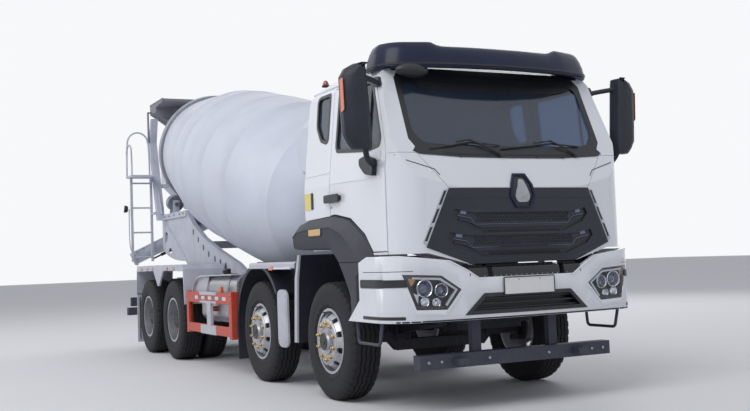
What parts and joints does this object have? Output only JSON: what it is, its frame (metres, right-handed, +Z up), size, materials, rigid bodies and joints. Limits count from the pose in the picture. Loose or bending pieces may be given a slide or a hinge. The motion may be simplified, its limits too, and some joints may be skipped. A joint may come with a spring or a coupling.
{
  "type": "concrete mixer truck",
  "caption": "Rigid cab-over truck with a large tilted mixing drum, rear charging hopper, discharge funnel and swinging chute.",
  "frame": {"origin": "on the ground, at the middle of the overall length and width", "axes": "+X forward, +Y to the truck's left, +Z up"},
  "size_m": [9.9113, 3, 3.93],
  "materials": {
    "chassis_paint": "dark semi-gloss paint",
    "white_paint": "white gloss paint, dusty on the drum",
    "grey_paint": "light grey paint, dusty",
    "dark_plastic": "anthracite moulded plastic",
    "tank_metal": "brushed aluminium",
    "window_glass": "dark blue tint",
    "lamp_lens": "clear lens over chrome",
    "tyre_rubber": "dusty black rubber",
    "rim_paint": "silver paint",
    "bare_steel": "rolled bare steel",
    "seat_cloth": "dark woven cloth"
  },
  "bodies": {
    "chassis": {"chassis_frame": "chassis_paint", "subframe": "chassis_paint", "engine_block": "chassis_paint", "axles": "chassis_paint", "leaf_springs": "chassis_paint", "arch_liners": "dark_plastic", "underrun_beam": "chassis_paint", "bumper": "dark_plastic", "headlamps": "lamp_lens", "side_tanks": "tank_metal", "side_guards": "grey_paint", "rear_fenders": "grey_paint", "water_tank": "grey_paint", "drum_pedestal": "chassis_paint", "drum_gearbox": "chassis_paint", "rear_frame": "chassis_paint", "ladder": "chassis_paint", "collecting_funnel": "white_paint", "rear_underrun": "grey_paint"},
    "cab": {"cab_shell": "white_paint", "front_panels": "white_paint", "grille": "dark_plastic", "cab_glass": "window_glass", "arch_flares": "dark_plastic", "visor": "dark_plastic", "seats": "seat_cloth", "dashboard": "dark_plastic"},
    "door_right": {"door_R": "white_paint", "door_glass_R": "window_glass", "mirror_R": "dark_plastic"},
    "door_left": {"door_L": "white_paint", "door_glass_L": "window_glass", "mirror_L": "dark_plastic"},
    "drum": {"drum_shell": "white_paint", "raceway": "bare_steel"},
    "roller_right": {"roller_R": "bare_steel"},
    "roller_left": {"roller_L": "bare_steel"},
    "hopper": {"charge_hopper": "white_paint"},
    "chute_turntable": {"chute_swivel": "grey_paint"},
    "chute_trough": {"chute": "white_paint"},
    "knuckle_1_left": {"knuckle_1L": "chassis_paint"},
    "wheel_1_left": {"tyre_1L": "tyre_rubber", "rim_1L": "rim_paint"},
    "knuckle_1_right": {"knuckle_1R": "chassis_paint"},
    "wheel_1_right": {"tyre_1R": "tyre_rubber", "rim_1R": "rim_paint"},
    "knuckle_2_left": {"knuckle_2L": "chassis_paint"},
    "wheel_2_left": {"tyre_2L": "tyre_rubber", "rim_2L": "rim_paint"},
    "knuckle_2_right": {"knuckle_2R": "chassis_paint"},
    "wheel_2_right": {"tyre_2R": "tyre_rubber", "rim_2R": "rim_paint"},
    "wheel_3_left": {"tyres_3L": "tyre_rubber", "rims_3L": "rim_paint"},
    "wheel_3_right": {"tyres_3R": "tyre_rubber", "rims_3R": "rim_paint"},
    "wheel_4_left": {"tyres_4L": "tyre_rubber", "rims_4L": "rim_paint"},
    "wheel_4_right": {"tyres_4R": "tyre_rubber", "rims_4R": "rim_paint"}
  },
  "joints": [
    {"name": "cab_tilt", "type": "hinge", "parent": "chassis", "child": "cab", "pos_m": [4.8575, 0, 1], "axis": [0, 1, 0], "range_deg": [0, 50]},
    {"name": "door_right_hinge", "type": "hinge", "parent": "cab", "child": "door_right", "pos_m": [4.6655, -1.158, 2], "axis": [0, 0, 1], "range_deg": [0, 70]},
    {"name": "door_left_hinge", "type": "hinge", "parent": "cab", "child": "door_left", "pos_m": [4.6655, 1.158, 2], "axis": [0, 0, -1], "range_deg": [0, 70]},
    {"name": "drum_spin", "type": "hinge", "parent": "chassis", "child": "drum", "pos_m": [1.98497, 0, 1.78791], "axis": [-0.9747, 0, 0.2236], "continuous": true},
    {"name": "roller_right_spin", "type": "hinge", "parent": "chassis", "child": "roller_right", "pos_m": [-3.5879, -0.62878, 2.24062], "axis": [-0.9747, 0, 0.2236], "continuous": true},
    {"name": "roller_left_spin", "type": "hinge", "parent": "chassis", "child": "roller_left", "pos_m": [-3.5879, 0.62878, 2.24062], "axis": [-0.9747, 0, 0.2236], "continuous": true},
    {"name": "hopper_tilt", "type": "hinge", "parent": "chassis", "child": "hopper", "pos_m": [-4.5675, 0, 3.33], "axis": [0, -1, 0], "range_deg": [0, 30]},
    {"name": "chute_slew", "type": "hinge", "parent": "chassis", "child": "chute_turntable", "pos_m": [-4.5225, 0, 1.64], "axis": [0, 0, -1], "range_deg": [0, 150]},
    {"name": "chute_tilt", "type": "hinge", "parent": "chute_turntable", "child": "chute_trough", "pos_m": [-4.5225, 0, 1.96], "axis": [0.9703, -0.2419, 0], "range_deg": [-12, 15]},
    {"name": "steer_1_left", "type": "hinge", "parent": "chassis", "child": "knuckle_1_left", "pos_m": [3.4275, 0.87, 0.535], "axis": [0, 0, 1], "range_deg": [-35, 35]},
    {"name": "wheel_1_left_spin", "type": "hinge", "parent": "knuckle_1_left", "child": "wheel_1_left", "pos_m": [3.4275, 1.019, 0.535], "axis": [0, 1, 0], "continuous": true},
    {"name": "steer_1_right", "type": "hinge", "parent": "chassis", "child": "knuckle_1_right", "pos_m": [3.4275, -0.87, 0.535], "axis": [0, 0, 1], "range_deg": [-35, 35]},
    {"name": "wheel_1_right_spin", "type": "hinge", "parent": "knuckle_1_right", "child": "wheel_1_right", "pos_m": [3.4275, -1.019, 0.535], "axis": [0, 1, 0], "continuous": true},
    {"name": "steer_2_left", "type": "hinge", "parent": "chassis", "child": "knuckle_2_left", "pos_m": [1.6025, 0.87, 0.535], "axis": [0, 0, 1], "range_deg": [-24, 24]},
    {"name": "wheel_2_left_spin", "type": "hinge", "parent": "knuckle_2_left", "child": "wheel_2_left", "pos_m": [1.6025, 1.019, 0.535], "axis": [0, 1, 0], "continuous": true},
    {"name": "steer_2_right", "type": "hinge", "parent": "chassis", "child": "knuckle_2_right", "pos_m": [1.6025, -0.87, 0.535], "axis": [0, 0, 1], "range_deg": [-24, 24]},
    {"name": "wheel_2_right_spin", "type": "hinge", "parent": "knuckle_2_right", "child": "wheel_2_right", "pos_m": [1.6025, -1.019, 0.535], "axis": [0, 1, 0], "continuous": true},
    {"name": "wheel_3_left_spin", "type": "hinge", "parent": "chassis", "child": "wheel_3_left", "pos_m": [-1.6375, 0.92, 0.535], "axis": [0, 1, 0], "continuous": true},
    {"name": "wheel_3_right_spin", "type": "hinge", "parent": "chassis", "child": "wheel_3_right", "pos_m": [-1.6375, -0.92, 0.535], "axis": [0, 1, 0], "continuous": true},
    {"name": "wheel_4_left_spin", "type": "hinge", "parent": "chassis", "child": "wheel_4_left", "pos_m": [-2.9875, 0.92, 0.535], "axis": [0, 1, 0], "continuous": true},
    {"name": "wheel_4_right_spin", "type": "hinge", "parent": "chassis", "child": "wheel_4_right", "pos_m": [-2.9875, -0.92, 0.535], "axis": [0, 1, 0], "continuous": true}
  ],
  "couplings": [
    {"joint": "roller_right_spin", "follows": "drum_spin", "ratio": -7.168},
    {"joint": "roller_left_spin", "follows": "drum_spin", "ratio": -7.168},
    {"joint": "steer_1_right", "follows": "steer_1_left", "ratio": 1},
    {"joint": "steer_2_left", "follows": "steer_1_left", "ratio": 0.68},
    {"joint": "steer_2_right", "follows": "steer_1_left", "ratio": 0.68}
  ]
}
